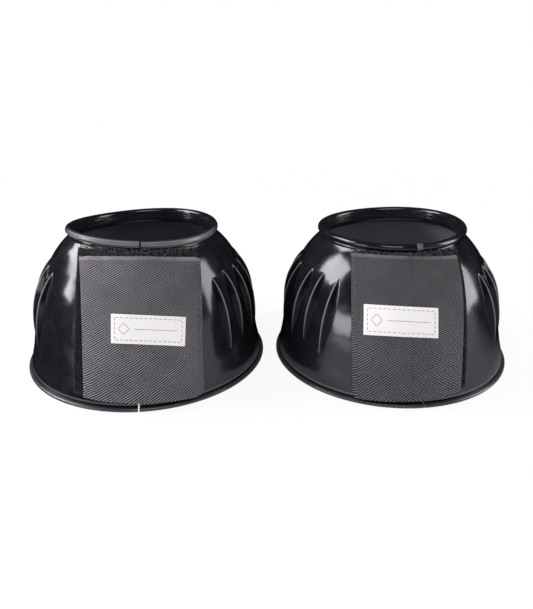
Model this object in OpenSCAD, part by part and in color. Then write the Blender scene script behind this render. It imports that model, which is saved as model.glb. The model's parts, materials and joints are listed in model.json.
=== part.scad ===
// A pair of bell boots. Each boot is a split rubber bell with a rolled collar, a rim
// bead and side pleats. A tongue of loop tape bridges the split, and a wide woven
// flap folds back over the tongue. Millimetres, +Z up, the closures face -Y.
// Each boot is drawn about its own axis with its inner side, where the flap is
// sewn, towards +X. The right boot is the mirror image of the left one.

/* [Bell] */
// Radius of the rim bead's centre line
rim_r = 92; // [86:1:98]
// Radius of the rim bead's section
rim_bead = 2.6; // [2:0.1:3.2]
// Height of the bell
bell_h = 108; // [102:1:116]
// Inside radius of the collar
collar_r = 50.3; // [46:0.1:54]
// Radius of the rolled collar's section
collar_bead = 2.3; // [1.8:0.1:2.8]
// Length of the straight band inside the collar
collar_band = 9; // [7:0.5:12]
// Thickness of the rubber wall
wall_t = 3; // [2.4:0.1:3.6]
// Half the angle of the split at the front
split_half = 0.3; // [0.2:0.1:1]

/* [Side pleats] */
// Height of a pleat above the wall
pleat_h = 3.2; // [2:0.1:4]
// Angle from the split to the first ridge on the left boot's inner wing
left_inner_pleat = 45.5; // [45:0.1:48]
// Angle from the split to the first ridge on the left boot's outer wing
left_outer_pleat = 64.8; // [60:0.1:68]
// Angle from the split to the first ridge on the right boot's inner wing
right_inner_pleat = 52; // [51.5:0.1:54]
// Angle from the split to the first ridge on the right boot's outer wing
right_outer_pleat = 46.9; // [46:0.1:60]
// Angle from the split to the first ridge on the back
back_pleat = 92.3; // [91:0.1:98]
// Angle between two pleats
pleat_step = 11.7; // [11:0.1:12]
// Angle that one pleat covers
pleat_sweep = 7.5; // [5:0.5:8]
// Pleats on each side of the back
back_pleats = 3; // [1:1:4]

/* [Closure] */
// Width of the flap with its sewn root
flap_w = 80; // [72:1:84]
// Width of the flap's sewn root
root_w = 7; // [5:0.5:10]
// Height of the flap's lower edge
flap_low = 6; // [5.6:0.1:10]
// Height of the flap's upper edge at its middle
flap_top = 102; // [92:0.5:102.5]
// How far the tongue shows above the flap
tongue_rise = 1.4; // [1:0.1:2]
// How far the tongue shows beside the flap's free edge
tongue_side = 5; // [3:0.5:7]
// Thickness of a hook field or a loop patch
hook_t = 0.6; // [0.4:0.1:0.7]
// Thickness of the tongue
tongue_t = 1.2; // [0.8:0.1:1.3]
// Thickness of the flap
flap_t = 1.4; // [1:0.1:1.6]
// Room between layers on different wings
layer_gap = 0.65; // [0.6:0.05:0.8]

/* [Label] */
// Width of the label
label_w = 50; // [40:1:56]
// Lower edge of the label, as a share of the wall line from collar to rim
label_low = 0.665; // [0.6:0.005:0.7]
// Upper edge of the label, as a share of the wall line from collar to rim
label_high = 0.455; // [0.4:0.005:0.5]
// Shift of the label towards the flap's sewn edge
label_shift = 5; // [0:0.5:8]
// Thickness of the label
label_t = 0.7; // [0.5:0.1:1]

/* [Pair] */
// Distance from each boot's axis to the middle of the pair
centre_x = 99; // [98:1:120]
// How far the right boot stands behind the left one
stagger = 3; // [0:0.5:8]
// Turn of the left boot about its axis
left_yaw = 7.6; // [0:0.1:10]
// Turn of the right boot about its axis
right_yaw = 8; // [0:0.1:10]
// Angle from the left boot's split to the middle of its flap
left_turn = 0.7; // [0:0.1:2.5]
// Angle from the right boot's split to the middle of its flap
right_turn = 9; // [6:0.1:9.5]

/* [Hidden] */
$fn = 96;
SEAM = 0.1;           // half angle of the cut between a wing and the back
SEWN = 0.05;          // gap between layers sewn to each other
WALL_STEPS = 12;      // straight steps in the wall line
PLEAT_STEPS = 8;      // straight steps in a pleat's crest
PLEAT_FROM = 0.26;    // pleats start and end here on the wall line
PLEAT_TO = 0.84;
STITCH = [3.2, 0.7, 0.45];
STITCH_PITCH = 4.6;
FRONT = 270;          // angle of the split
TOP_SLOPE = 0.55;     // how fast the flap's upper edge drops towards its corners

neck = [collar_r + wall_t + 0.2, bell_h - 7.5];
shoulder = neck + [22, -18.5];
foot = [rim_r - 1, rim_bead];
skirt = foot + [-5.4, 47.4];
collar_z = bell_h - collar_bead;

patch_in = SEWN;
patch_out = patch_in + hook_t;
tongue_hook_in = patch_out + layer_gap;
tongue_in = tongue_hook_in + hook_t + SEWN;
tongue_out = tongue_in + tongue_t;
flap_hook_in = tongue_out + layer_gap;
flap_in = flap_hook_in + hook_t + SEWN;
flap_out = flap_in + flap_t;
label_in = flap_out + SEWN;
label_out = label_in + label_t;

flap_left = -flap_w / 2;
flap_right = flap_w / 2 - root_w;
tongue_left = flap_left - tongue_side;
tongue_right = flap_right - 2;
root_left = flap_right + 0.4;
tongue_root_w = 25;

mid_y = (foot[0] + flap_out - rim_r - rim_bead) / 2;
left_y = mid_y - stagger / 2;
right_y = mid_y + stagger / 2;

// The wall's outer line is one curve from the collar (t = 0) to the rim (t = 1).
function wall_pt(t) =
    pow(1 - t, 3) * neck + 3 * pow(1 - t, 2) * t * shoulder
    + 3 * (1 - t) * t * t * skirt + pow(t, 3) * foot;
function wall_dir(t) =
    pow(1 - t, 2) * (shoulder - neck) + 2 * (1 - t) * t * (skirt - shoulder)
    + t * t * (foot - skirt);
function wall_out(t) = let (d = wall_dir(t)) [-d[1], d[0]] / norm(d);
function wall_off(t, off) = wall_pt(t) + off * wall_out(t);
function wall_line(off) = [for (i = [0:WALL_STEPS]) wall_off(i / WALL_STEPS, off)];
function reversed(list) = [for (i = [len(list) - 1:-1:0]) list[i]];
function layer(inner, outer) = concat(wall_line(outer), reversed(wall_line(inner)));

// A piece of revolution between two angles
module sector(from, to) {
    rotate([0, 0, from]) rotate_extrude(angle = to - from) children();
}

module bell_section() {
    polygon(layer(-wall_t, 0));
    translate([collar_r, collar_z - collar_band]) square([wall_t + 0.2, collar_band]);
    translate([collar_r + collar_bead, collar_z]) circle(collar_bead);
    translate([rim_r, rim_bead]) circle(rim_bead);
}

// A pleat's section: a crest that rises from the wall and falls back to it
module pleat_section() {
    ts = [for (i = [0:PLEAT_STEPS]) PLEAT_FROM + (PLEAT_TO - PLEAT_FROM) * i / PLEAT_STEPS];
    crest = [for (i = [0:PLEAT_STEPS]) wall_off(ts[i], pleat_h * sin(180 * i / PLEAT_STEPS))];
    foot_line = [for (t = ts) wall_off(t, -wall_t / 2)];
    polygon(concat(crest, reversed(foot_line)));
}

// A pleat runs back from its ridge, which is at the angle given from the split.
module pleat(ridge, side) {
    middle = FRONT + side * (ridge + pleat_sweep / 2);
    sector(middle - pleat_sweep / 2, middle + pleat_sweep / 2) pleat_section();
}

// A layer of the closure, cut to a rectangle that wraps the front of the bell
module wrap(inner, outer, left, right, low, top, turn) {
    crown = -wall_off(0.05, outer)[0];
    rotate([0, 0, turn]) intersection() {
        sector(FRONT - 60, FRONT + 60) polygon(layer(inner, outer));
        translate([left, 0, 0]) rotate([90, 0, 90]) linear_extrude(right - left)
            polygon([[-150, low], [-10, low], [-10, top - TOP_SLOPE * (-10 - crown)],
                     [-150, top - TOP_SLOPE * (-150 - crown)]]);
    }
}

// Seats a child on a layer, with its X along the bell, its Y up the wall, its Z outwards
module on_layer(across, t, off, turn) {
    place = wall_off(t, off);
    out = wall_out(t);
    rotate([0, 0, turn + asin(across / place[0])]) translate([0, -place[0], place[1]])
        rotate([atan2(out[0], out[1]), 0, 0]) children();
}

module stitch(along) {
    size = along == "up" ? [STITCH[1], STITCH[0], STITCH[2]] : STITCH;
    translate([-size[0] / 2, -size[1] / 2, SEWN]) cube(size);
}

// A row of stitches down the wall at one distance across
module stitch_column(across, t_from, t_to, off, turn) {
    run = norm(wall_pt(t_to) - wall_pt(t_from));
    count = floor(run / STITCH_PITCH);
    for (i = [0:count]) on_layer(across, t_from + (t_to - t_from) * i / count, off, turn)
        stitch("up");
}

// A row of stitches across the wall at one height
module stitch_row(left, right, t, off, turn) {
    count = floor((right - left) / STITCH_PITCH);
    for (i = [0:count]) on_layer(left + (right - left) * i / count, t, off, turn)
        stitch("across");
}

module back_shell() {
    color([0.09, 0.09, 0.12]) {
        sector(SEAM, 180 - SEAM) bell_section();
        for (side = [-1, 1], i = [0:back_pleats - 1])
            pleat(back_pleat + pleat_step * i, side);
    }
}

// A wing, with as many pleats behind the first one as fit in front of its hinge line
module wing(side, first) {
    color([0.09, 0.09, 0.12]) {
        if (side < 0) sector(180 + SEAM, FRONT - split_half) bell_section();
        else sector(FRONT + split_half, 360 - SEAM) bell_section();
        for (i = [0:floor((90 - SEAM - pleat_sweep - first) / pleat_step)])
            pleat(first + pleat_step * i, side);
    }
}

module inner_patch(turn) {
    color([0.05, 0.05, 0.05])
        wrap(patch_in, patch_out, 2, flap_w / 2 - 1, flap_low, flap_top + tongue_rise - 1, turn);
}

module tongue_root(turn) {
    color([0.07, 0.07, 0.08])
        wrap(patch_in, tongue_in - SEWN, tongue_left, tongue_left + tongue_root_w, flap_low,
             flap_top + tongue_rise - 1, turn);
}

module tongue(turn) {
    color([0.05, 0.05, 0.05])
        wrap(tongue_in, tongue_out, tongue_left, tongue_right, flap_low,
             flap_top + tongue_rise, turn);
}

module tongue_hook(turn) {
    color([0.07, 0.07, 0.08])
        wrap(tongue_hook_in, tongue_in - SEWN, 3, tongue_right - 1, flap_low + 1,
             flap_top + tongue_rise - 2, turn);
}

module tongue_stitching(turn) {
    color([0.12, 0.12, 0.13])
        stitch_column(tongue_left + 2, 0.16, 0.93, tongue_out, turn);
}

module flap_root(turn) {
    color([0.27, 0.28, 0.3])
        wrap(patch_out + SEWN, flap_out, root_left, flap_w / 2, flap_low, flap_top, turn);
}

module flap(turn) {
    color([0.27, 0.28, 0.3])
        wrap(flap_in, flap_out, flap_left, flap_right, flap_low, flap_top, turn);
}

module flap_hook(turn) {
    color([0.07, 0.07, 0.08])
        wrap(flap_hook_in, flap_in - SEWN, flap_left + 2, flap_right - 3, flap_low + 2,
             flap_top - 2, turn);
}

module flap_stitching(turn) {
    color([0.4, 0.4, 0.42])
        stitch_column(root_left + root_w / 2, 0.14, 0.93, flap_out, turn);
}

module label(turn) {
    low = wall_off(label_low, label_out)[1];
    high = wall_off(label_high, label_out)[1];
    left = label_shift - label_w / 2;
    color([0.93, 0.92, 0.88]) rotate([0, 0, turn]) intersection() {
        sector(FRONT - 60, FRONT + 60) polygon(layer(label_in, label_out));
        translate([left, -150, low]) cube([label_w, 140, high - low]);
    }
}

module label_stitching(turn) {
    left = label_shift - label_w / 2 + 2.2;
    right = label_shift + label_w / 2 - 2.2;
    t_in = 0.022;
    t_low = label_low - t_in;
    t_high = label_high + t_in;
    color([0.55, 0.55, 0.55]) {
        stitch_row(left + 2, right - 2, t_low, label_out, turn);
        stitch_row(left + 2, right - 2, t_high, label_out, turn);
        stitch_column(left, t_high + 0.03, t_low - 0.03, label_out, turn);
        stitch_column(right, t_high + 0.03, t_low - 0.03, label_out, turn);
    }
}

module left() {
    translate([-centre_x, left_y, 0]) rotate([0, 0, left_yaw]) children();
}

module right() {
    translate([centre_x, right_y, 0]) rotate([0, 0, right_yaw]) mirror([1, 0, 0]) children();
}

left() back_shell();  // left_back_shell
left() wing(-1, left_outer_pleat);  // left_outer_wing
left() wing(1, left_inner_pleat);  // left_inner_wing
left() inner_patch(left_turn);  // left_inner_patch
left() tongue_root(left_turn);  // left_tongue_root
left() tongue(left_turn);  // left_tongue
left() tongue_hook(left_turn);  // left_tongue_hook
left() tongue_stitching(left_turn);  // left_tongue_stitching
left() flap_root(left_turn);  // left_flap_root
left() flap(left_turn);  // left_flap
left() flap_hook(left_turn);  // left_flap_hook
left() flap_stitching(left_turn);  // left_flap_stitching
left() label(left_turn);  // left_label
left() label_stitching(left_turn);  // left_label_stitching
right() back_shell();  // right_back_shell
right() wing(-1, right_outer_pleat);  // right_outer_wing
right() wing(1, right_inner_pleat);  // right_inner_wing
right() inner_patch(right_turn);  // right_inner_patch
right() tongue_root(right_turn);  // right_tongue_root
right() tongue(right_turn);  // right_tongue
right() tongue_hook(right_turn);  // right_tongue_hook
right() tongue_stitching(right_turn);  // right_tongue_stitching
right() flap_root(right_turn);  // right_flap_root
right() flap(right_turn);  // right_flap
right() flap_hook(right_turn);  // right_flap_hook
right() flap_stitching(right_turn);  // right_flap_stitching
right() label(right_turn);  // right_label
right() label_stitching(right_turn);  // right_label_stitching
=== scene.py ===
"""A pair of bell boots: glossy ribbed rubber bells, each closed by a fuzzy loop
tongue under a grey woven flap. Shapes are worked out in millimetres in each
boot's own frame (split at -Y, inner side at +X) and placed in the row frame."""
import json
import math
import random

import bpy
import numpy as np
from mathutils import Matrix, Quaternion, Vector


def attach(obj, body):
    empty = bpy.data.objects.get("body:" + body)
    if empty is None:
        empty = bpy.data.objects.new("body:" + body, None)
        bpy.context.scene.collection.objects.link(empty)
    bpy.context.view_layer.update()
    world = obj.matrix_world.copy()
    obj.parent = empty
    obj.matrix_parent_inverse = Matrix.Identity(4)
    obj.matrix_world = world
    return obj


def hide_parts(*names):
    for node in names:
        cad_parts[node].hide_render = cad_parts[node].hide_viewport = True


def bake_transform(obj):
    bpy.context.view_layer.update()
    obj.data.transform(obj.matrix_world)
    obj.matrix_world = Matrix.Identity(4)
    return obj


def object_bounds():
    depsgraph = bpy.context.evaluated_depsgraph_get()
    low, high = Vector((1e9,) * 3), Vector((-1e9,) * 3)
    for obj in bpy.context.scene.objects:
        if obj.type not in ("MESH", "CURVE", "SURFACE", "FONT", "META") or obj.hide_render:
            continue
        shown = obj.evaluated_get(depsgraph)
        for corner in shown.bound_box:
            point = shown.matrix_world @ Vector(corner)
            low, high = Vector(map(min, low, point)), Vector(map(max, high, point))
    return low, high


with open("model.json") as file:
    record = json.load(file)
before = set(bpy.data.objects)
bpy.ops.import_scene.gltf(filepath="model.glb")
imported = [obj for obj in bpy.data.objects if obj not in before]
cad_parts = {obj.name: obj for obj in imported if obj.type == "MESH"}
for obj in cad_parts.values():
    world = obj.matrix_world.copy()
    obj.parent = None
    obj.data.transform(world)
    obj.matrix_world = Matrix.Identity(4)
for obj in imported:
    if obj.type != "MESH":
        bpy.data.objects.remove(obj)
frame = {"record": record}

CAD_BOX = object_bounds()
MM = 0.001
RECORD = frame["record"]
MOUNTS = {m["name"]: m for m in RECORD["mounts"]}
JOINTS = {j["name"]: j for j in RECORD["behaviour"]["joints"]}

# ---------------------------------------------------------------- the bell's wall
HEIGHT = CAD_BOX[1].z / MM
CENTRE_X = MOUNTS["right_collar"]["pos_m"][0] / MM
COLLAR_R = MOUNTS["right_collar"]["dims"]["r_mm"]
COLLAR_BAND = MOUNTS["right_collar"]["dims"]["length_mm"]
RIM_BEAD = 2.6           # radius of the rim bead as it is drawn
RIM_ROLL = 1.4           # radius of the thinner bead that the photograph shows
RIM_STEPS = (0.965, 0.974, 0.980, 0.984, 0.988, 0.9915, 0.9945, 0.997)
COLLAR_BEAD = 2.65       # radius of the rolled collar
COLLAR_ROLL = (180, -62)  # degrees that the roll runs through, from inside to the neck
COLLAR_RIDGES = 8        # ridges along the left boot's collar, whose front is painted paler along them
WALL_T = 3.0
RIM_R = CAD_BOX[1].x / MM - CENTRE_X - RIM_BEAD
NECK = np.array([COLLAR_R + WALL_T + 0.2, HEIGHT - 7.5])
FOOT = np.array([RIM_R - 1.0, RIM_BEAD])
SHOULDER = NECK + [22.0, -18.5]
SKIRT = FOOT + [-5.4, 47.4]

NECK_STEPS = ((-0.1, 2.2), (0.3, 1.7), (0.45, 1.0), (0.35, 0.3), (0.75, -0.35))
FOOT_FLARE = 1.1         # how far the wall stands out just above the bead
FOOT_TUCK = 0.4          # and how far it draws in again at the bead

BACK_RIDGES = (92.3, 104.0, 115.7)
PLEAT_SPAN = (0.27, 0.83)
PLEAT_LOWER = (0.02, 0.0, 0.01)     # pleats start and end a little apart
PLEAT_UPPER = (0.02, 0.05, 0.03)
PLEAT_H = 3.7
PLEAT_DRIFT = 2.6        # degrees that a ridge drifts from its top to its foot
PLEAT_ROUND = 0.10       # rounding of the crest
PLEAT_HOLLOW = 0.9       # depth of the hollow in front of the face


def wall(t, off=0.0):
    """Points (r, z) on the wall's outer line, moved out by off; t is 0 at the collar."""
    t = np.asarray(t, float)[..., None]
    p = ((1 - t) ** 3 * NECK + 3 * (1 - t) ** 2 * t * SHOULDER
         + 3 * (1 - t) * t * t * SKIRT + t ** 3 * FOOT)
    d = ((1 - t) ** 2 * (SHOULDER - NECK) + 2 * (1 - t) * t * (SKIRT - SHOULDER)
         + t * t * (FOOT - SKIRT))
    d = d / np.linalg.norm(d, axis=-1, keepdims=True)
    out = np.stack([-d[..., 1], d[..., 0]], -1)
    return p + np.asarray(off, float)[..., None] * out


def ease(x):
    x = np.clip(x, 0.0, 1.0)
    return x * x * (3 - 2 * x)


def through(values, s):
    """A smooth curve through three values at s = 0, 0.5 and 1."""
    a, b, c = values
    s = np.asarray(s, float)
    return a * (1 - s) * (1 - 2 * s) + b * 4 * s * (1 - s) + c * s * (2 * s - 1)


def pleat_relief(ridges, phi, t):
    """Height of the pleats over the wall, with two masks: one along their crests, painted
    there as a highlight, and one over their hollows, painted there as shade. Each pleat is
    a leaf with a hollow, a steep face, a sharp crest and a long back."""
    height = np.zeros(np.broadcast(phi, t).shape)
    edge, painted_hollow_shade = np.zeros_like(height), np.zeros_like(height)
    per_degree = wall(t)[..., 0] * math.pi / 180
    for i, ridge in enumerate(ridges):
        low = PLEAT_SPAN[0] + PLEAT_LOWER[i % 3]
        high = PLEAT_SPAN[1] - PLEAT_UPPER[i % 3]
        u = np.clip((t - low) / (high - low), 0, 1)
        swell = np.sin(np.pi * u ** 1.05) ** 0.75
        swell = np.where((u > 0) & (u < 1), swell, 0)
        s = (np.abs(phi) - (ridge + PLEAT_DRIFT * (u - 0.5))) * per_degree
        face = 1.2 + 3.8 * swell
        back = 3.0 + 11.5 * swell
        x = np.clip(s / face + 1, 0, 2)
        rise = x ** 1.8
        fall = 1 - np.clip(s / back, -1, 1)
        fall = np.where(s > 0, np.clip(fall, 0, 2) ** 1.5, 1 - 1.5 * s / back)
        blend = np.clip(0.5 + 0.5 * (fall - rise) / PLEAT_ROUND, 0, 1)
        crest = fall + (rise - fall) * blend - PLEAT_ROUND * blend * (1 - blend)
        crest = np.where(s < -face, 0, crest)
        height += PLEAT_H * swell * crest
        height -= PLEAT_HOLLOW * swell * np.exp(-((s / face + 0.72) / 0.26) ** 2)
        inside = (u > 0) & (u < 1)
        # painted highlight along each crest, brightest near its top
        edge = np.maximum(edge, inside * (0.4 + 0.6 * swell) * (1.15 - 0.6 * u)
                          * np.exp(-((s - 0.1) / 0.45) ** 2))
        # painted shade over the hollow in front of each face
        trough = ease((s / face + 1.02) / 0.12) * (1 - ease((s / face + 0.16) / 0.12))
        painted_hollow_shade = np.maximum(painted_hollow_shade, ease(swell / 0.3) * trough)
    return height, edge, painted_hollow_shade


# ---------------------------------------------------------------- one boot's place
class Boot:
    """Where a boot stands and how its soft shape differs from the drawn one."""

    def __init__(self, side, turn, lean, squeeze, collar, pleats, rim_gap, drift,
                 flap, tongue, label):
        self.side = side
        self.hand = 1 if side == "left" else -1
        self.turn = turn
        self.lean = lean
        self.squeeze = squeeze
        self.collar = collar
        self.pleats = pleats
        self.rim_gap = rim_gap
        self.drift = drift
        self.flap = flap
        self.tongue = tongue
        self.label = label
        self.centre = np.array(MOUNTS[side + "_collar"]["pos_m"][:2]) / MM
        outer = np.array(JOINTS[side + "_outer_spread"]["pos_m"][:2])
        inner = np.array(JOINTS[side + "_inner_spread"]["pos_m"][:2])
        across = (inner - outer) * self.hand
        self.yaw = math.atan2(across[1], across[0])

    def place(self, points):
        """Boot-frame millimetres to row-frame metres, with the rubber's soft shape."""
        p = np.asarray(points, float)
        z = p[..., 2]
        c, s = math.cos(self.yaw), math.sin(self.yaw)
        x = p[..., 0] * self.hand
        wx, wy = x * c - p[..., 1] * s, x * s + p[..., 1] * c
        angle = np.arctan2(wx, -wy)
        up = ease((z - 30) / 70)
        waves = [np.ones_like(angle), np.cos(2 * angle), np.sin(2 * angle),
                 np.cos(3 * angle), np.sin(3 * angle)]
        soft = 1 + up * sum(k * w for k, w in zip(self.collar["shape"], waves))
        lift = [np.ones_like(angle), np.cos(angle), np.sin(angle),
                np.cos(2 * angle), np.sin(2 * angle)]
        wz = z + up * sum(k * w for k, w in zip(self.collar["lift"], lift))
        front = 0.25 + 0.5 * np.cos(angle) + 0.25 * np.cos(2 * angle)
        wz = wz + self.collar["front"] * front * ease((z - 86) / 16)
        wx = wx * soft * self.squeeze + up * self.collar["shift"][0]
        wx = wx + self.hand * self.lean * z / HEIGHT
        wy = wy * soft + up * self.collar["shift"][1]
        return np.stack([wx + self.centre[0], wy + self.centre[1], wz], -1) * MM

    def on(self, u, t, off):
        """A point u across and t down the closure's front, off the wall."""
        q = wall(t, off)
        phi = np.arcsin(np.clip(u / q[..., 0], -1, 1)) + math.radians(self.turn)
        p = np.stack([q[..., 0] * np.sin(phi), -q[..., 0] * np.cos(phi), q[..., 1]], -1)
        return self.place(p)

    def square(self, u, ahead, z):
        """A point u across the closure and straight ahead of the boot's centre."""
        c, s = math.cos(math.radians(self.turn)), math.sin(math.radians(self.turn))
        return self.place([u * c + ahead * s, u * s - ahead * c, z])

    def local_line(self, x, y):
        """A boot-frame point on the ground as a row-frame point."""
        c, s = math.cos(self.yaw), math.sin(self.yaw)
        x = x * self.hand
        return ((x * c - y * s + self.centre[0]) * MM,
                (x * s + y * c + self.centre[1]) * MM, 0.05)


BOOTS = [
    Boot("left", turn=0.7, lean=3.0, squeeze=1.0, rim_gap=0.2, drift=-2.6,
         collar=dict(shape=(0.0228, -0.002, -0.004, -0.0113, 0.0053), shift=(1.16, 0.34),
                     lift=(0.66, 1.38, -1.0, -1.17, -1.22), front=3.7),
         pleats=dict(inner=(45.2, 56.2, 68.9, 80.6), outer=(64.8, 76.5)),
         flap=dict(free=(-42.0, -41.3, -43.3), sewn=(39.0, 40.5, 41.1),
                   top=(0.116, 0.076, 0.120), foot=(0.950, 0.965, 0.984)),
         tongue=dict(free=(-43.0, -46.3, -50.5), top=(0.045, 0.028, 0.05)),
         label=dict(left=(-20.8, -21.3), right=(28.8, 28.1),
                    top=(0.447, 0.457, 0.499), foot=(0.624, 0.637, 0.678))),
    Boot("right", turn=9.0, lean=4.0, squeeze=0.979, rim_gap=0.02, drift=1.6,
         collar=dict(shape=(0.0195, -0.0114, 0.0029, 0.0087, 0.0078), shift=(0.39, -0.39),
                     lift=(-0.79, 1.39, 1.28, -0.25, -0.32), front=-0.6),
         pleats=dict(inner=(52.0, 63.9, 75.3), outer=(46.9, 58.6, 70.3, 82.0)),
         flap=dict(free=(-36.8, -39.8, -39.1), sewn=(36.6, 38.4, 38.4),
                   top=(0.086, 0.045, 0.058), foot=(0.948, 0.970, 0.984)),
         tongue=dict(free=(-38.4, -42.8, -43.4), top=(0.02, 0.0, 0.01)),
         label=dict(left=(-19.9, -20.1), right=(30.3, 31.0),
                    top=(0.433, 0.413, 0.421), foot=(0.621, 0.605, 0.614))),
]

# layers of the closure, as distances from the wall
PATCH = (0.05, 0.65)
TONGUE_HOOK = (1.3, 1.9)
TONGUE = (1.95, 2.85)
FLAP_HOOK_T = 0.4
FLAP_T = 1.25
FLAP_OUT = 5.75              # the flap's outer surface, over the tongue
ROOT_BACK = 2.6              # how far it comes down to its sewn root
TONGUE_END = 27.5            # where the tongue ends, across the closure
FLAP_FOLD = (36.0, 31.0)     # sewn down before the first, loose beyond the second


# ---------------------------------------------------------------- mesh helpers
def make_mesh(name, verts, faces, uv, material, sharp=None):
    """An object from arrays: verts in metres, uv per vertex in units of 100 mm."""
    mesh = bpy.data.meshes.new(name)
    mesh.from_pydata([tuple(v) for v in verts], [], [tuple(f) for f in faces])
    layer = mesh.uv_layers.new(name="surface")
    loops = np.empty(len(mesh.loops), dtype=np.int32)
    mesh.loops.foreach_get("vertex_index", loops)
    layer.data.foreach_set("uv", np.asarray(uv, np.float32)[loops].ravel())
    mesh.materials.append(material)
    mesh.polygons.foreach_set("use_smooth", np.ones(len(mesh.polygons), dtype=bool))
    if sharp is not None:
        mesh.set_sharp_from_angle(angle=math.radians(sharp))
    mesh.validate()
    obj = bpy.data.objects.new(name, mesh)
    bpy.context.scene.collection.objects.link(obj)
    return obj


def grid_faces(rows, cols, start=0, flip=False):
    i = np.arange(rows - 1)[:, None] * cols + np.arange(cols - 1)[None, :] + start
    quads = np.stack([i, i + 1, i + cols + 1, i + cols], -1).reshape(-1, 4)
    return quads[:, ::-1] if flip else quads


def slab(top, under, uv_top, flip=False):
    """A closed solid between two grids of points: faces for both and for the edges."""
    rows, cols = top.shape[:2]
    n = rows * cols
    verts = np.concatenate([top.reshape(-1, 3), under.reshape(-1, 3)])
    uv = np.concatenate([uv_top.reshape(-1, 2), uv_top.reshape(-1, 2)])
    ring = ([(0, c) for c in range(cols)] + [(r, cols - 1) for r in range(1, rows)]
            + [(rows - 1, c) for c in range(cols - 2, -1, -1)]
            + [(r, 0) for r in range(rows - 2, 0, -1)])
    ring = np.array([r * cols + c for r, c in ring])
    nxt = np.roll(ring, -1)
    side = np.stack([ring, ring + n, nxt + n, nxt], -1)
    if flip:
        side = side[:, ::-1]
    faces = np.concatenate([grid_faces(rows, cols, 0, flip),
                            grid_faces(rows, cols, n, not flip), side])
    return verts, faces, uv


def tube(points, radius, sides):
    """A thin closed tube along points, thinner at its ends, as vertices and faces."""
    points = np.asarray(points, float)
    n = len(points)
    tangent = np.gradient(points, axis=0)
    tangent /= np.linalg.norm(tangent, axis=1, keepdims=True) + 1e-12
    helper = np.array([0.31, 0.52, 0.79])
    a = np.cross(tangent, helper)
    a /= np.linalg.norm(a, axis=1, keepdims=True)
    b = np.cross(tangent, a)
    scale = np.ones(n)
    scale[0] = scale[-1] = 0.45
    angle = np.arange(sides) * 2 * math.pi / sides
    ring = (points[:, None] + radius * scale[:, None, None]
            * (a[:, None] * np.cos(angle)[None, :, None]
               + b[:, None] * np.sin(angle)[None, :, None]))
    verts = ring.reshape(-1, 3)
    faces = []
    for i in range(n - 1):
        for k in range(sides):
            k2 = (k + 1) % sides
            faces.append((i * sides + k, i * sides + k2,
                          (i + 1) * sides + k2, (i + 1) * sides + k))
    faces.append(tuple(range(sides))[::-1])
    faces.append(tuple((n - 1) * sides + k for k in range(sides)))
    return verts, faces


def tubes_object(name, lines, radius, sides, material):
    verts, faces, start = [], [], 0
    for line in lines:
        v, f = tube(line, radius, sides)
        verts.append(v)
        faces += [tuple(i + start for i in face) for face in f]
        start += len(v)
    verts = np.concatenate(verts)
    return make_mesh(name, verts, faces, verts[:, :2] * 10, material)


# ---------------------------------------------------------------- materials
def new_material(name):
    material = bpy.data.materials.new(name)
    material.use_nodes = True
    nodes = material.node_tree.nodes
    return material, nodes, material.node_tree.links, nodes["Principled BSDF"]


def wire(links, value, socket):
    if hasattr(value, "links"):
        links.new(value, socket)
    else:
        socket.default_value = value


def math_node(nodes, links, kind, a, b=0.0, c=None):
    node = nodes.new("ShaderNodeMath")
    node.operation = kind
    wire(links, a, node.inputs[0])
    wire(links, b, node.inputs[1])
    if c is not None:
        wire(links, c, node.inputs[2])
    return node.outputs[0]


def noise(nodes, links, vector, scale, detail=3.0, rough=0.55):
    node = nodes.new("ShaderNodeTexNoise")
    node.inputs["Scale"].default_value = scale
    node.inputs["Detail"].default_value = detail
    node.inputs["Roughness"].default_value = rough
    links.new(vector, node.inputs["Vector"])
    return node.outputs["Fac"]


def spread(nodes, links, value, low, high, to_low, to_high):
    node = nodes.new("ShaderNodeMapRange")
    node.interpolation_type = "SMOOTHSTEP"
    links.new(value, node.inputs["Value"])
    for key, number in (("From Min", low), ("From Max", high),
                        ("To Min", to_low), ("To Max", to_high)):
        node.inputs[key].default_value = number
    return node.outputs["Result"]


def blend_colour(nodes, links, factor, a, b):
    node = nodes.new("ShaderNodeMix")
    node.data_type = "RGBA"
    wire(links, factor, node.inputs["Factor"])
    for value, socket in ((a, node.inputs[6]), (b, node.inputs[7])):
        if isinstance(value, tuple):
            socket.default_value = (*value, 1.0)
        else:
            links.new(value, socket)
    return node.outputs[2]


def bump(nodes, links, height, strength, distance):
    node = nodes.new("ShaderNodeBump")
    node.inputs["Strength"].default_value = strength
    node.inputs["Distance"].default_value = distance
    links.new(height, node.inputs["Height"])
    return node.outputs["Normal"]


def surface_uv(nodes, links):
    """UV in millimetres, as (vector, across, along)."""
    uv = nodes.new("ShaderNodeUVMap")
    uv.uv_map = "surface"
    scale = nodes.new("ShaderNodeVectorMath")
    scale.operation = "SCALE"
    links.new(uv.outputs["UV"], scale.inputs[0])
    scale.inputs["Scale"].default_value = 100.0
    split = nodes.new("ShaderNodeSeparateXYZ")
    links.new(scale.outputs[0], split.inputs[0])
    return scale.outputs[0], split.outputs["X"], split.outputs["Y"]


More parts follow.
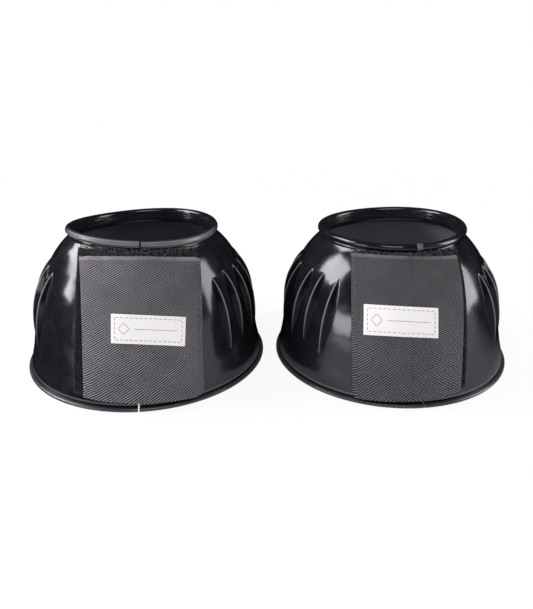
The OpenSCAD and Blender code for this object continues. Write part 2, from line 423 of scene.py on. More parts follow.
def rubber_material():
    """Glossy black rubber. A colour attribute holds scuffs and painted highlights, painted
    shade in the hollows and under the rim, and painted light that makes the inside paler."""
    material, nodes, links, shader = new_material("bell_rubber")
    vector, _, _ = surface_uv(nodes, links)
    wear_and_painted_light = nodes.new("ShaderNodeAttribute")
    wear_and_painted_light.attribute_name = "wear_and_painted_light"
    split = nodes.new("ShaderNodeSeparateColor")
    links.new(wear_and_painted_light.outputs["Color"], split.inputs[0])
    scuff_and_painted_highlight, painted_hollow_shade, inside = split.outputs[0], split.outputs[1], split.outputs[2]
    cloud = noise(nodes, links, vector, 0.045, 4.0, 0.6)
    dust = noise(nodes, links, vector, 0.9, 5.0, 0.65)
    tint = spread(nodes, links, cloud, 0.35, 0.68, 0.0, 1.0)
    colour = blend_colour(nodes, links, tint, (0.0070, 0.0064, 0.0088), (0.0125, 0.0115, 0.0150))
    # painted light: the inside is paler
    colour = blend_colour(nodes, links, inside, colour, (0.30, 0.28, 0.34))
    # painted shade in the hollows
    colour = blend_colour(nodes, links, painted_hollow_shade, colour, (0.0045, 0.0040, 0.0055))
    # scuffs and painted highlights
    colour = blend_colour(nodes, links, scuff_and_painted_highlight, colour, (0.30, 0.29, 0.31))
    links.new(colour, shader.inputs["Base Color"])
    smear = spread(nodes, links, cloud, 0.4, 0.7, 0.13, 0.20)
    grit = spread(nodes, links, dust, 0.5, 0.75, 0.0, 0.02)
    rough = math_node(nodes, links, "ADD", smear, grit)
    links.new(math_node(nodes, links, "MULTIPLY_ADD", scuff_and_painted_highlight, 0.5, rough),
              shader.inputs["Roughness"])
    shader.inputs["IOR"].default_value = 1.5
    # painted shade: less gloss in the hollows
    links.new(math_node(nodes, links, "MULTIPLY_ADD", painted_hollow_shade, -0.42, 0.55),
              shader.inputs["Specular IOR Level"])
    soft = noise(nodes, links, vector, 0.055, 1.2, 0.45)
    fine = noise(nodes, links, vector, 2.2, 2.0, 0.5)
    height = math_node(nodes, links, "MULTIPLY_ADD", fine, 0.0015, soft)
    links.new(bump(nodes, links, height, 0.28, 0.0012), shader.inputs["Normal"])
    return material


def pile_material(name, dark, light):
    material, nodes, links, shader = new_material(name)
    vector, _, _ = surface_uv(nodes, links)
    grain = noise(nodes, links, vector, 1.6, 4.0, 0.7)
    colour = blend_colour(nodes, links, spread(nodes, links, grain, 0.4, 0.7, 0.0, 1.0),
                          dark, light)
    links.new(colour, shader.inputs["Base Color"])
    shader.inputs["Roughness"].default_value = 0.85
    shader.inputs["Specular IOR Level"].default_value = 0.2
    shader.inputs["Sheen Weight"].default_value = 0.04
    shader.inputs["Sheen Roughness"].default_value = 0.5
    links.new(bump(nodes, links, grain, 0.9, 0.0012), shader.inputs["Normal"])
    return material


def hook_material():
    material, nodes, links, shader = new_material("hook_tape")
    vector, across, along = surface_uv(nodes, links)
    row = math_node(nodes, links, "SINE", math_node(nodes, links, "MULTIPLY", across, 5.0))
    col = math_node(nodes, links, "SINE", math_node(nodes, links, "MULTIPLY", along, 5.0))
    dots = math_node(nodes, links, "MULTIPLY", row, col)
    colour = blend_colour(nodes, links, spread(nodes, links, dots, -0.2, 0.8, 0.0, 1.0),
                          (0.008, 0.008, 0.009), (0.04, 0.04, 0.043))
    links.new(colour, shader.inputs["Base Color"])
    shader.inputs["Roughness"].default_value = 0.55
    links.new(bump(nodes, links, dots, 0.8, 0.0006), shader.inputs["Normal"])
    return material


TWILL_ACROSS = 0.384     # lines per millimetre across and along the flap
TWILL_ALONG = 0.63


def twill_material(name, flip_at, hem, dark, bright):
    """Dark grey twill: diagonals of short bright floats that turn over at flip_at.
    The hem along the top is plain and paler."""
    material, nodes, links, shader = new_material(name)
    vector, across, along = surface_uv(nodes, links)
    wobble = math_node(nodes, links, "MULTIPLY_ADD",
                       noise(nodes, links, vector, 0.10, 2.0), 1.6, -0.8)
    fold = math_node(nodes, links, "ABSOLUTE",
                     math_node(nodes, links, "SUBTRACT", across, flip_at))
    x = math_node(nodes, links, "MULTIPLY", fold, 2 * math.pi * TWILL_ACROSS)
    y = math_node(nodes, links, "MULTIPLY",
                  math_node(nodes, links, "ADD", along, wobble), 2 * math.pi * TWILL_ALONG)
    main = math_node(nodes, links, "SINE", math_node(nodes, links, "SUBTRACT", y, x))
    other = math_node(nodes, links, "SINE", math_node(nodes, links, "MULTIPLY_ADD", x, 1.1, y))
    weave = math_node(nodes, links, "MULTIPLY_ADD", other, 0.35, main)
    fuzz = noise(nodes, links, vector, 1.3, 3.0, 0.7)
    weave = math_node(nodes, links, "ADD", weave,
                      math_node(nodes, links, "MULTIPLY_ADD", fuzz, 1.2, -0.6))
    plain = spread(nodes, links, along, hem - 0.5, hem + 0.3, 1.0, 0.0)
    keep = math_node(nodes, links, "MULTIPLY_ADD", plain, -0.8, 1.0)
    height = math_node(nodes, links, "MULTIPLY", weave, keep)
    patchy = noise(nodes, links, vector, 0.05, 3.0)
    lift = math_node(nodes, links, "MULTIPLY_ADD", patchy, 0.8,
                     math_node(nodes, links, "MULTIPLY_ADD", plain, 0.5, -0.4))
    spine = spread(nodes, links, fold, 0.0, 2.2, -0.15, 0.0)
    level = math_node(nodes, links, "ADD", math_node(nodes, links, "ADD", height, lift), spine)
    shade = spread(nodes, links, level, 0.0, 0.95, 0.0, 1.0)
    links.new(blend_colour(nodes, links, shade, dark, bright), shader.inputs["Base Color"])
    shader.inputs["Roughness"].default_value = 0.55
    shader.inputs["Specular IOR Level"].default_value = 0.4
    links.new(bump(nodes, links, height, 0.7, 0.0004), shader.inputs["Normal"])
    return material


def label_material():
    material, nodes, links, shader = new_material("label_cloth")
    vector, _, _ = surface_uv(nodes, links)
    grain = noise(nodes, links, vector, 1.4, 5.0, 0.7)
    stain = noise(nodes, links, vector, 0.12, 3.0)
    fleck = spread(nodes, links, grain, 0.3, 0.7, 0.0, 1.0)
    clean = blend_colour(nodes, links, fleck, (0.70, 0.69, 0.67), (0.82, 0.812, 0.795))
    colour = blend_colour(nodes, links, spread(nodes, links, stain, 0.45, 0.8, 0.0, 0.5),
                          clean, (0.70, 0.68, 0.64))
    links.new(colour, shader.inputs["Base Color"])
    shader.inputs["Roughness"].default_value = 0.7
    shader.inputs["Specular IOR Level"].default_value = 0.25
    links.new(bump(nodes, links, grain, 0.5, 0.0004), shader.inputs["Normal"])
    return material


def thread_material(name, dark, light):
    material, nodes, links, shader = new_material(name)
    vector, _, _ = surface_uv(nodes, links)
    twist = noise(nodes, links, vector, 6.0, 3.0)
    colour = blend_colour(nodes, links, spread(nodes, links, twist, 0.35, 0.65, 0.0, 1.0),
                          dark, light)
    links.new(colour, shader.inputs["Base Color"])
    shader.inputs["Roughness"].default_value = 0.6
    shader.inputs["Specular IOR Level"].default_value = 0.4
    links.new(bump(nodes, links, twist, 0.5, 0.0003), shader.inputs["Normal"])
    return material


RUBBER = rubber_material()
PILE = pile_material("loop_pile", (0.003, 0.0028, 0.0035), (0.034, 0.031, 0.037))
# a paler copy of the loop pile: painted light on the loops above the flap and beyond the tongue's
# end
PILE_PAINTED_LIGHT = pile_material("loop_pile_painted_light", (0.014, 0.014, 0.015), (0.42, 0.41, 0.43))
HOOK = hook_material()
LABEL = label_material()
DARK_THREAD = thread_material("dark_thread", (0.006, 0.006, 0.007), (0.03, 0.03, 0.033))
FLAP_THREAD = thread_material("flap_thread", (0.02, 0.02, 0.022), (0.07, 0.07, 0.075))
LABEL_THREAD = thread_material("label_thread", (0.10, 0.10, 0.11), (0.30, 0.30, 0.31))
PRINT = thread_material("label_print", (0.13, 0.13, 0.14), (0.22, 0.22, 0.23))
# the twill turns over 3 mm from the middle of the right flap, and nowhere on the left one
HEM = 3.2
# one cloth in two copies: the left flap's is paler and the right's darker, as painted light and
# shade
TWILL = {
    "left": twill_material("flap_twill_left_lit", 200.0, HEM,
                           (0.0115, 0.011, 0.013), (0.262, 0.252, 0.270)),
    "right": twill_material("flap_twill_right_shaded", 3.0, HEM,
                            (0.008, 0.0075, 0.009), (0.150, 0.143, 0.156)),
}


# ---------------------------------------------------------------- the rubber bell
def collar_bead_line(boot, phi):
    """The rolled collar's section, from inside over the top to the neck outside."""
    angle = np.radians(np.linspace(*COLLAR_ROLL, 41))
    front = ease((75 - abs(phi)) / 35) if boot.side == "left" else 0.0
    outside = ease((np.radians(85) - np.abs(angle)) / 0.5)
    groove = 0.13 * front * np.cos(angle * COLLAR_RIDGES) * outside
    radius = COLLAR_BEAD + groove
    r = COLLAR_R + COLLAR_BEAD + radius * np.cos(angle)
    z = HEIGHT - COLLAR_BEAD + radius * np.sin(angle)
    return np.stack([r, z], -1)


def ridges_of(boot, side):
    return boot.pleats["outer" if side < 0 else "inner"] + BACK_RIDGES


def bell_section(boot, side, phi):
    """The wall's closed section at one angle, as (r, z) points."""
    step = min(1.0, abs(phi) / 14)
    t = np.concatenate([np.linspace(0.045, 0.955, 92), RIM_STEPS])
    relief, edge, painted_hollow_shade = pleat_relief(ridges_of(boot, side), phi, t)
    flare = FOOT_FLARE * ease((t - 0.86) / 0.12)
    outer = wall(t, relief + flare - FOOT_TUCK * ease((t - 0.987) / 0.008))
    neck = NECK + np.array(NECK_STEPS)
    bead_angle = np.radians(np.linspace(113, -118, 22))
    bead = np.stack([RIM_R + RIM_BEAD - RIM_ROLL + RIM_ROLL * np.cos(bead_angle),
                     RIM_ROLL + RIM_ROLL * np.sin(bead_angle)], -1)
    heel = np.array([[RIM_R - 2.6, 0.75], [RIM_R - 3.6, 2.2]])
    inner = wall(np.linspace(0.96, 0.075, 40), -WALL_T)
    low = HEIGHT - COLLAR_BEAD - COLLAR_BAND
    ledge = np.array([[COLLAR_R + 2.2, low - 0.3], [COLLAR_R + 0.5, low],
                      [COLLAR_R, low + 0.6], [COLLAR_R, low + 4.0]])
    collar = collar_bead_line(boot, phi)
    # the two ends of the roll don't quite meet at the split
    collar = collar + (1 - ease(step)) * np.array([-0.75 * side - 0.1, -0.45 * side])
    parts = [collar, neck, outer, bead, heel, inner, ledge]
    wear_and_painted_light = [np.zeros((len(part), 3)) for part in parts]
    facing = np.linspace(*COLLAR_ROLL, len(collar))
    # painted light: the left collar's front is rougher and paler, more so on its ridges
    if boot.side == "left":
        lines = 0.75 + 0.25 * np.cos(np.radians(facing) * COLLAR_RIDGES)
        wear_and_painted_light[0][:, 0] = 0.5 * lines * ease((85 - abs(phi)) / 30) * ease((95 - facing) / 50)
    elif side < 0 and abs(phi) < 5:
        flecks = np.sin(np.arange(len(collar)) * 2.3 + phi * 3) > -0.3
        wear_and_painted_light[0][:, 0] = 0.5 * ease((5 - abs(phi)) / 2) * flecks
    # painted highlights on the pleat crests and in a thin line just above the rim bead
    wear_and_painted_light[2][:, 0] = np.maximum(0.75 * edge, 0.30 * np.exp(-((t - 0.983) / 0.004) ** 2))
    # painted shade in the pleat hollows and just above the rim bead
    wear_and_painted_light[2][:, 1] = np.maximum(painted_hollow_shade, ease((t - 0.986) / 0.005))
    wear_and_painted_light[3][:, 0] = 0.13
    # painted light: the inside wall is paler higher up, twice as much on the right boot
    wear_and_painted_light[5][:, 2] = (0.5 if boot.side == "left" else 1.0) * ease((inner[:, 1] - 40) / 45)
    # a painted bright line along the inner ledge
    wear_and_painted_light[6][:2, 0] = 0.45
    return np.concatenate(parts), np.concatenate(wear_and_painted_light)


def bell_angles(boot, side):
    angles = set(np.round(np.linspace(0.2, 180, 74), 3))
    angles |= {0.2, 0.9, 1.6, 3.2, 5.0, 7.0, 9.5, 12.0, 15.0}
    near = np.concatenate([np.arange(-6.2, -1.6, 0.35), np.arange(-1.6, 2.01, 0.16),
                           np.arange(2.4, 7, 0.7)])
    for ridge in ridges_of(boot, side):
        angles |= {round(float(ridge + d), 3) for d in near}
    ordered = sorted(angles)
    kept = [ordered[0]]
    for a in ordered[1:]:
        if a - kept[-1] > 0.11:
            kept.append(a)
    kept[-1] = 180.0
    return [side * a for a in kept]


def bell_half(boot, side):
    """One half of the bell, from the split round to the middle of the back."""
    angles = bell_angles(boot, side)
    rings, uvs, wear_and_light_rows = [], [], []
    for phi in angles:
        section, wear_and_painted_light = bell_section(boot, side, phi)
        wear_and_light_rows.append(wear_and_painted_light)
        z = section[:, 1]
        gap = boot.rim_gap * ease((9 - z) / 9) * math.exp(-abs(phi) / 2.5)
        gap = gap + 0.45 * ease((z - 99) / 5) * math.exp(-abs(phi) / 0.8)
        drift = side * boot.drift * ease((70 - z) / 70) * math.exp(-(phi / 22) ** 2)
        a = np.radians(phi + side * gap + side * drift)
        r = section[:, 0]
        rings.append(np.stack([r * np.sin(a), -r * np.cos(a), z], -1))
        run = np.concatenate([[0], np.cumsum(np.linalg.norm(np.diff(section, axis=0), axis=1))])
        uvs.append(np.stack([np.full(len(z), phi * 1.5), run], -1) / 100)
    points = np.array(rings)
    rows, cols = points.shape[:2]
    verts = boot.place(points.reshape(-1, 3))
    i = np.arange(rows - 1)[:, None] * cols + np.arange(cols)[None, :]
    j = np.arange(rows - 1)[:, None] * cols + (np.arange(cols)[None, :] + 1) % cols
    quads = np.stack([i, j, j + cols, i + cols], -1).reshape(-1, 4)
    ends = [tuple(range(cols)), tuple((rows - 1) * cols + k for k in range(cols))]
    if side * boot.hand > 0:
        quads = quads[:, ::-1]
        ends[0] = ends[0][::-1]
    else:
        ends[1] = ends[1][::-1]
    name = "outer" if side < 0 else "inner"
    faces = [tuple(q) for q in quads] + ends
    obj = make_mesh(f"{boot.side}_bell_{name}_half", verts, faces,
                    np.array(uvs).reshape(-1, 2), RUBBER, sharp=48)
    wear_and_light_layer = obj.data.color_attributes.new("wear_and_painted_light", "FLOAT_COLOR", "POINT")
    rgba = np.concatenate([np.array(wear_and_light_rows).reshape(-1, 3), np.ones((len(verts), 1))], 1)
    wear_and_light_layer.data.foreach_set("color", rgba.astype(np.float32).ravel())
    boot.local_line(side * 95, 40)
    boot.local_line(side * 95, -42)
    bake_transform(obj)
    return obj


# ---------------------------------------------------------------- layers of the closure
def layer_grid(boot, cols, rows, edges, ends, off, off_under):
    """Points of a layer: edges and ends give its borders, off its two surfaces."""
    c, s = np.meshgrid(np.linspace(0, 1, cols), np.linspace(0, 1, rows))
    free, sewn = through(edges[0], s), through(edges[1], s)
    u = free + (sewn - free) * c
    top, foot = through(ends[0], c), through(ends[1], c)
    t = top + (foot - top) * s
    over, under = off(u, c, s), off_under(u, c, s)
    length = np.linalg.norm(wall(0.95) - wall(0.03)) * 1.07
    uv = np.stack([u * boot.hand, s * length], -1) / 100
    return boot.on(u, t, over), boot.on(u, t, under), uv


def ripple(u, s, seed):
    return (0.22 * np.sin(u * 0.11 + seed) * np.sin(s * 5.1 + seed * 2)
            + 0.1 * np.sin(u * 0.31 + s * 9 + seed))


def flap_over(u, c, s):
    """The flap's outer surface: pressed on the tongue, brought down to its sewn root."""
    root = ease((u - 34.5) / 4.5)
    free = ease((-u - 34) / 8)
    wave = ripple(u, s, 0.7) * (1 - root) * (1 - 0.6 * free)
    hem = 0.22 * ease((0.045 - s) / 0.01)
    roll = -0.5 * ease((0.02 - np.minimum(c, 1 - c)) / 0.02)
    return FLAP_OUT - ROOT_BACK * root - 0.9 * free + wave + hem + roll


def bend_with_flap(boot, obj):
    """Bakes the object's placement into its mesh. The points where the flap would fold,
    between its sewn edge and where it comes loose, are found but not used.
    """
    run = FLAP_FOLD[0] - FLAP_FOLD[1]
    start = boot.square(FLAP_FOLD[0], 70.0, 50.0)
    end = boot.square(FLAP_FOLD[1], 70.0, 50.0 + run * boot.lean / HEIGHT)
    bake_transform(obj)


def make_flap(boot):
    f = boot.flap
    over, under, uv = layer_grid(
        boot, 97, 121, (f["free"], f["sewn"]), (f["top"], f["foot"]), flap_over,
        lambda u, c, s: flap_over(u, c, s) - FLAP_T)
    verts, faces, uvs = slab(over, under, uv, flip=boot.hand > 0)
    obj = make_mesh(f"{boot.side}_woven_flap", verts, faces, uvs, TWILL[boot.side], sharp=60)
    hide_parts(boot.side + "_flap", boot.side + "_flap_root")
    bend_with_flap(boot, obj)
    return obj


def make_layer(boot, name, left, right, top, foot, inner, outer, material, body, node):
    over, under, uv = layer_grid(
        boot, 61, 81, (left, right), (top, foot),
        lambda u, c, s: outer + 0.12 * ripple(u, s, 2.1), lambda u, c, s: inner + 0 * u)
    verts, faces, uvs = slab(over, under, uv, flip=boot.hand > 0)
    obj = make_mesh(name, verts, faces, uvs, material, sharp=60)
    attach(obj, body)
    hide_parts(*node)
    return obj


def fibre(boot, rng, u, t, off, length):
    """One loop of the pile: out of the layer, over and back."""
    lean_u, lean_t = rng.uniform(-1, 1), rng.uniform(-1, 1)
    steps = np.array([0.0, 0.35, 0.7, 1.0])
    rise = np.array([0.0, 0.8, 1.0, rng.uniform(0.1, 0.9)]) * length * rng.uniform(0.5, 1.0)
    return boot.on(u + lean_u * length * steps, t + lean_t * length * 0.008 * steps, off + rise)


def make_pile(boot, name, u_of, t_of, off, count, body, seed, length, material):
    rng = random.Random(seed)
    lines = []
    for _ in range(count):
        a, b = rng.random(), rng.random()
        lines.append(fibre(boot, rng, u_of(a, b), t_of(a, b), off, length))
    obj = tubes_object(name, lines, 0.14 * MM, 3, material)
    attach(obj, body)
    return obj


def make_tongue(boot):
    tg, f = boot.tongue, boot.flap
    side, body = boot.side, boot.side + "_outer"
    foot = tuple(x - 0.004 for x in f["foot"])
    end = (TONGUE_END,) * 3
    tongue = make_layer(boot, side + "_loop_tongue", tg["free"], end, tg["top"], foot,
                        TONGUE[0], TONGUE[1], PILE, body, [side + "_tongue"])
    hooks = make_layer(boot, side + "_tongue_hooks", (3.0,) * 3, (TONGUE_END - 1,) * 3,
                       (0.05,) * 3, (0.94,) * 3, TONGUE_HOOK[0], TONGUE_HOOK[1],
                       HOOK, body, [side + "_tongue_hook"])
    root_edge = tuple(x + 1.5 for x in tg["free"])
    root = make_layer(boot, side + "_tongue_base", root_edge, (-15.0,) * 3, tg["top"], foot,
                      PATCH[0], TONGUE[0] - 0.05, HOOK, body, [side + "_tongue_root"])
    patch_edge = tuple(x - 1.2 for x in f["sewn"])
    patch = make_layer(boot, side + "_loop_patch", (3.0,) * 3, patch_edge, (0.01, 0.01, 0.03),
                       foot, PATCH[0], PATCH[1], PILE, side + "_inner",
                       [side + "_inner_patch"])
    top_mid = through(f["top"], 0.5)
    # the pile that shows above the flap, beside it, and beyond the tongue's end
    above = make_pile(boot, side + "_tongue_pile_top",
                      lambda a, b: tg["free"][0] + 0.8 + a * (TONGUE_END - tg["free"][0] - 1.5),
                      lambda a, b: 0.004 + b * (float(through(f["top"], a)) + 0.03),
                      TONGUE[1], 1500, body, 11, 1.3, PILE_PAINTED_LIGHT)
    beside = make_pile(boot, side + "_tongue_pile_side",
                       lambda a, b: float(through(tg["free"], b)) + 0.3 + a * 8.5,
                       lambda a, b: 0.03 + b * 0.9, TONGUE[1], 1500, body, 12, 1.1, PILE)
    beyond = make_pile(boot, side + "_patch_pile", lambda a, b: TONGUE_END + 1 + a * 8,
                       lambda a, b: 0.015 + b * (top_mid + 0.06),
                       PATCH[1], 260, side + "_inner", 13, 1.3, PILE_PAINTED_LIGHT)
    return tongue


def make_loose_threads(boot):
    """Ends of thread that stick out of the pile above the flap."""
    rng = random.Random(31)
    lines = []
    places = (-38.0, -33.0, -4.5) if boot.side == "left" else (-33.0, 20.0)
    for u0 in places:
        t0 = float(through(boot.flap["top"], 0.5 + u0 / 84)) - 0.012
        s = np.linspace(0, 1, 9)
        reach = rng.uniform(3.5, 6.0)
        lines.append(boot.on(u0 + reach * 0.7 * s * rng.choice((-1, 1)),
                             t0 + 0.02 * np.sin(2.2 * s),
                             TONGUE[1] + 0.4 + 2.6 * np.sin(math.pi * s * 0.8)))
    obj = tubes_object(boot.side + "_loose_threads", lines, 0.16 * MM, 5, PILE)
    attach(obj, boot.side + "_outer")
    return obj


def make_flap_hooks(boot):
    """The hook tape on the flap's back follows the flap's own surface."""
    f, side = boot.flap, boot.side

    def face(depth):
        return lambda u, c, s: (flap_over(u, np.full(np.shape(u), 0.5), 0.03 + 0.94 * s)
                                - FLAP_T - depth)

    over, under, uv = layer_grid(
        boot, 61, 81, (tuple(x + 1.8 for x in f["free"]), (27.0,) * 3),
        (tuple(x + 0.025 for x in f["top"]), tuple(x - 0.025 for x in f["foot"])),
        face(0.02), face(FLAP_HOOK_T))
    verts, faces, uvs = slab(over, under, uv, flip=boot.hand > 0)
    obj = make_mesh(side + "_flap_hooks", verts, faces, uvs, HOOK, sharp=60)
    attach(obj, side + "_flap")
    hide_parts(side + "_flap_hook")
    return obj


# ---------------------------------------------------------------- label and threads
LABEL_OVER = 0.62        # the label's thickness over the flap
LABEL_SIZE = (50, 20)    # its width and length as drawn
LABEL_INSET = 2.4        # its stitches run this far inside its edge
STITCH_PITCH = 4.4       # length of one stitch of the seams with its gap


def label_at(boot, a, b):
    """(u, t) on the label, a across from its free side and b down it."""
    lb = boot.label
    left = lb["left"][0] + (lb["left"][1] - lb["left"][0]) * b
    right = lb["right"][0] + (lb["right"][1] - lb["right"][0]) * b
    top, foot = through(lb["top"], a), through(lb["foot"], a)
    return left + (right - left) * a, top + (foot - top) * b


def flap_skin(u, t):
    """Height of the flap's outer surface where the label lies. The wall's t stands in
    for the share down the flap: it only moves the surface's slow ripple along."""
    return flap_over(u, np.full(np.shape(u), 0.5), t)


def label_point(boot, a, b, lift):
    u, t = label_at(boot, np.asarray(a, float), np.asarray(b, float))
    return boot.on(u, t, flap_skin(u, t) + lift)


def make_label(boot):
    a, b = np.meshgrid(np.linspace(0, 1, 61), np.linspace(0, 1, 31))
    wide, long = LABEL_SIZE
    edge = np.minimum(np.minimum(a * wide, (1 - a) * wide),
                      np.minimum(b * long, (1 - b) * long))
    puff = LABEL_OVER * (0.72 + 0.28 * ease(edge / 0.8)) - 0.16 * np.exp(-((edge - 2.3) / 0.5) ** 2)
    over = label_point(boot, a, b, puff)
    under = label_point(boot, a, b, 0.02 + 0 * a)
    uv = np.stack([a * wide, b * long], -1) / 100
    verts, faces, uvs = slab(over, under, uv, flip=boot.hand > 0)
    obj = make_mesh(boot.side + "_sewn_label", verts, faces, uvs, LABEL, sharp=60)
    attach(obj, boot.side + "_flap")
    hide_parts(boot.side + "_label")
    return obj


def stitch_line(boot, a0, b0, a1, b1, lift):
    s = np.linspace(0, 1, 5)
    arch = lift + 0.10 * np.sin(np.pi * s) - 0.05
    return label_point(boot, a0 + (a1 - a0) * s, b0 + (b1 - b0) * s, arch)


def make_label_stitching(boot):
    rng = random.Random(5)
    lines = []
    inset_a, inset_b = LABEL_INSET / LABEL_SIZE[0], LABEL_INSET / LABEL_SIZE[1]
    across, down = 14, 5
    for k in range(across):
        a0 = inset_a + (1 - 2 * inset_a) * (k + 0.16) / across
        a1 = inset_a + (1 - 2 * inset_a) * (k + 0.78) / across
        for b in (inset_b, 1 - inset_b):
            j = rng.uniform(-0.006, 0.006)
            lines.append(stitch_line(boot, a0, b + j, a1, b - j, LABEL_OVER - 0.08))
    for k in range(down):
        b0 = inset_b + (1 - 2 * inset_b) * (k + 0.16) / down
        b1 = inset_b + (1 - 2 * inset_b) * (k + 0.78) / down
        for a in (inset_a, 1 - inset_a):
            j = rng.uniform(-0.003, 0.003)
            lines.append(stitch_line(boot, a + j, b0, a - j, b1, LABEL_OVER - 0.08))
    obj = tubes_object(boot.side + "_label_stitches", lines, 0.2 * MM, 6, LABEL_THREAD)
    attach(obj, boot.side + "_flap")
    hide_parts(boot.side + "_label_stitching")
    return obj


def make_label_print(boot):
    """A plain diamond and a plain rule, in place of any mark."""
    mid_a = 0.17 if boot.hand > 0 else 0.83
    diamond = [(0.0, -0.2), (0.075, 0.0), (0.0, 0.2), (-0.075, 0.0), (0.0, -0.2)]
    outline = []
    for (x0, y0), (x1, y1) in zip(diamond[:-1], diamond[1:]):
        for s in np.linspace(0, 1, 6)[:-1]:
            outline.append((mid_a + x0 + (x1 - x0) * s, 0.5 + y0 + (y1 - y0) * s))
    outline.append(outline[0])
    a, b = np.array(outline).T
    lines = [label_point(boot, a, b, LABEL_OVER - 0.02 + 0 * a)]
    rule = np.linspace(0.30, 0.90, 16) if boot.hand > 0 else np.linspace(0.10, 0.70, 16)
    lines.append(label_point(boot, rule, 0.5 + 0 * rule, LABEL_OVER - 0.02 + 0 * rule))
    obj = tubes_object(boot.side + "_label_print", lines, 0.17 * MM, 6, PRINT)
    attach(obj, boot.side + "_flap")
    return obj


def make_seam_stitches(boot, name, u_of, t_from, t_to, off_of, body, node, material):
    """A column of stitches down a layer. Without a body its placement is baked into its mesh."""
    lines = []
    count = int(np.linalg.norm(wall(t_to) - wall(t_from)) / STITCH_PITCH)
    for k in range(count):
        s = (k + np.linspace(0.14, 0.72, 5)) / count
        t = t_from + (t_to - t_from) * s
        u = u_of(s)
        off = off_of(u, s) + 0.12 * np.sin(np.pi * np.linspace(0, 1, 5))
        lines.append(boot.on(u, t, off))
    obj = tubes_object(name, lines, 0.26 * MM, 6, material)
    if body:
        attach(obj, body)
    else:
        bend_with_flap(boot, obj)
    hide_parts(node)
    return obj


def make_boot(boot):
    side = boot.side
    outer = bell_half(boot, -1)
    inner = bell_half(boot, 1)
    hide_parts(side + "_outer_wing", side + "_back_shell")
    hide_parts(side + "_inner_wing")
    tongue = make_tongue(boot)
    flap = make_flap(boot)
    hooks = make_flap_hooks(boot)
    make_loose_threads(boot)
    label = make_label(boot)
    threads = make_label_stitching(boot)
    mark = make_label_print(boot)
    seam = make_seam_stitches(boot, side + "_flap_stitches",
                              lambda s: through(boot.flap["sewn"], s) - 3.0, 0.15, 0.93,
                              lambda u, s: flap_over(u, 0.96 + 0 * u, s) + 0.05,
                              None, side + "_flap_stitching", FLAP_THREAD)
    make_seam_stitches(boot, side + "_tongue_stitches",
                       lambda s: through(boot.tongue["free"], s) + 1.6, 0.12, 0.92,
                       lambda u, s: TONGUE[1] + 0.1 + 0 * u,
                       side + "_outer", side + "_tongue_stitching", DARK_THREAD)


for boot in BOOTS:
    make_boot(boot)


# ---------------------------------------------------------------- stage, light, camera
def make_floor():
    """Pale paper that fades into the white surround far out. Glossy rays don't see
    the paper: to them it is dark behind the pair, bright in front, and has one bright
    spot, so part of the rubber's gloss comes from here and not from the lights."""
    size = 6.0
    verts = [(-size, -size, 0), (size, -size, 0), (size, size, 0), (-size, size, 0)]
    material, nodes, links, shader = new_material("floor_paper")
    coords = nodes.new("ShaderNodeTexCoord")
    place = nodes.new("ShaderNodeSeparateXYZ")
    links.new(coords.outputs["Object"], place.inputs[0])
    grain = noise(nodes, links, coords.outputs["Object"], 30.0, 3.0)
    colour = blend_colour(nodes, links, grain, (0.90, 0.90, 0.90), (0.93, 0.93, 0.93))
    links.new(colour, shader.inputs["Base Color"])
    shader.inputs["Roughness"].default_value = 0.95
    shader.inputs["Specular IOR Level"].default_value = 0.0
    length = nodes.new("ShaderNodeVectorMath")
    length.operation = "LENGTH"
    links.new(coords.outputs["Object"], length.inputs[0])
    far = spread(nodes, links, length.outputs["Value"], 0.35, 0.8, 0.9, 1.0)
    paper = nodes.new("ShaderNodeEmission")
    paper.inputs["Color"].default_value = (1, 1, 1, 1)
    front = spread(nodes, links, place.outputs["Y"], 0.03, -0.13, 0.0, 1.0)
    between_boots = spread(nodes, links, place.outputs["X"], -0.16, -0.06, 0.0, 1.0)
    ahead = spread(nodes, links, place.outputs["Y"], -0.10, -0.16, 0.0, 1.0)
    near = spread(nodes, links, place.outputs["X"], -0.46, -0.28, 0.0, 1.0)
    inward = math_node(nodes, links, "MAXIMUM", between_boots,
                       math_node(nodes, links, "MULTIPLY", ahead, near))
    patch = nodes.new("ShaderNodeVectorMath")
    patch.operation = "DISTANCE"
    links.new(coords.outputs["Object"], patch.inputs[0])
    patch.inputs[1].default_value = (-0.33, -0.33, 0)
    glow = spread(nodes, links, patch.outputs["Value"], 0.04, 0.19, 2.4, 0.0)
    mirrored = nodes.new("ShaderNodeEmission")
    mirrored.inputs["Color"].default_value = (0.94, 0.90, 1.04, 1)
    links.new(math_node(nodes, links, "MULTIPLY_ADD", front, inward, glow),
              mirrored.inputs["Strength"])
    path = nodes.new("ShaderNodeLightPath")
    seen = nodes.new("ShaderNodeMixShader")
    links.new(math_node(nodes, links, "MULTIPLY", path.outputs["Is Camera Ray"], far),
              seen.inputs[0])
    links.new(shader.outputs[0], seen.inputs[1])
    links.new(paper.outputs[0], seen.inputs[2])
    final = nodes.new("ShaderNodeMixShader")
    links.new(path.outputs["Is Glossy Ray"], final.inputs[0])
    links.new(seen.outputs[0], final.inputs[1])
    links.new(mirrored.outputs[0], final.inputs[2])
    links.new(final.outputs[0], nodes["Material Output"].inputs["Surface"])
    floor = make_mesh("floor", verts, [(0, 1, 2, 3)], [(0, 0)] * 4, material)


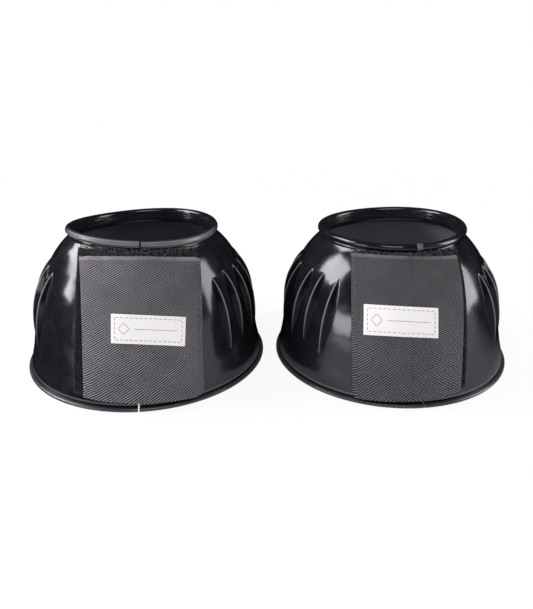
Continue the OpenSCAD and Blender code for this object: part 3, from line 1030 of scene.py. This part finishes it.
def aimed_light(name, azimuth, elevation, distance, width, height, power, aim=(0, 0, 0.06)):
    """A softbox seen from the pair in one direction; azimuth 0 is towards the camera."""
    a, e = math.radians(azimuth), math.radians(elevation)
    place = (aim[0] + distance * math.sin(a) * math.cos(e),
             aim[1] - distance * math.cos(a) * math.cos(e), aim[2] + distance * math.sin(e))
    data = bpy.data.lights.new(name, "AREA")
    data.shape = "RECTANGLE"
    data.size, data.size_y = width, height
    data.energy = power
    data.color = (1.0, 0.97, 1.01)
    light = bpy.data.objects.new(name, data)
    light.location = place
    light.rotation_mode = "QUATERNION"
    light.rotation_quaternion = (Vector(aim) - Vector(place)).to_track_quat("-Z", "Y")
    light.visible_camera = False
    bpy.context.scene.collection.objects.link(light)


def make_world():
    """White to the camera, dim to the diffuse light and nearly black in reflections."""
    world = bpy.data.worlds.new("studio")
    bpy.context.scene.world = world
    world.use_nodes = True
    nodes, links = world.node_tree.nodes, world.node_tree.links
    background = nodes["Background"]
    path = nodes.new("ShaderNodeLightPath")
    dim = blend_colour(nodes, links, path.outputs["Is Glossy Ray"],
                       (0.42, 0.42, 0.42), (0.014, 0.013, 0.018))
    final = blend_colour(nodes, links, path.outputs["Is Camera Ray"], dim, (1.0, 1.0, 1.0))
    links.new(final, background.inputs["Color"])
    background.inputs["Strength"].default_value = 1.0


CAMERA_LENS = 38.11
CAMERA_DISTANCE = 0.520
CAMERA_ELEVATION = 23.63
CAMERA_AZIMUTH = 0.26
CAMERA_ROLL = 0.45
CAMERA_AIM = (-0.00135, 0.0, 0.0406)


def make_camera():
    data = bpy.data.cameras.new("camera")
    data.lens = CAMERA_LENS
    data.sensor_width = 36.0
    camera = bpy.data.objects.new("camera", data)
    e, a = math.radians(CAMERA_ELEVATION), math.radians(CAMERA_AZIMUTH)
    back = Vector((math.sin(a) * math.cos(e), -math.cos(a) * math.cos(e), math.sin(e)))
    camera.location = Vector(CAMERA_AIM) + back * CAMERA_DISTANCE
    camera.rotation_mode = "QUATERNION"
    roll = Quaternion((0, 0, 1), -math.radians(CAMERA_ROLL))
    camera.rotation_quaternion = (-back).to_track_quat("-Z", "Y") @ roll
    bpy.context.scene.collection.objects.link(camera)
    bpy.context.scene.camera = camera


make_floor()
make_world()
aimed_light("softbox_left", -94, 34, 1.3, 0.69, 0.66, 16)
aimed_light("softbox_left_low", -80, 14, 1.3, 0.26, 0.24, 2.6)
aimed_light("strip_front_left", -55, 3, 1.0, 0.36, 0.20, 1.7, aim=(0, 0, 0.05))
aimed_light("softbox_right", 86, 19, 1.2, 0.52, 0.80, 8.2)
aimed_light("softbox_top", 0, 54, 1.3, 0.7, 0.45, 5.0)
make_camera()
bpy.context.scene.view_settings.view_transform = "Standard"
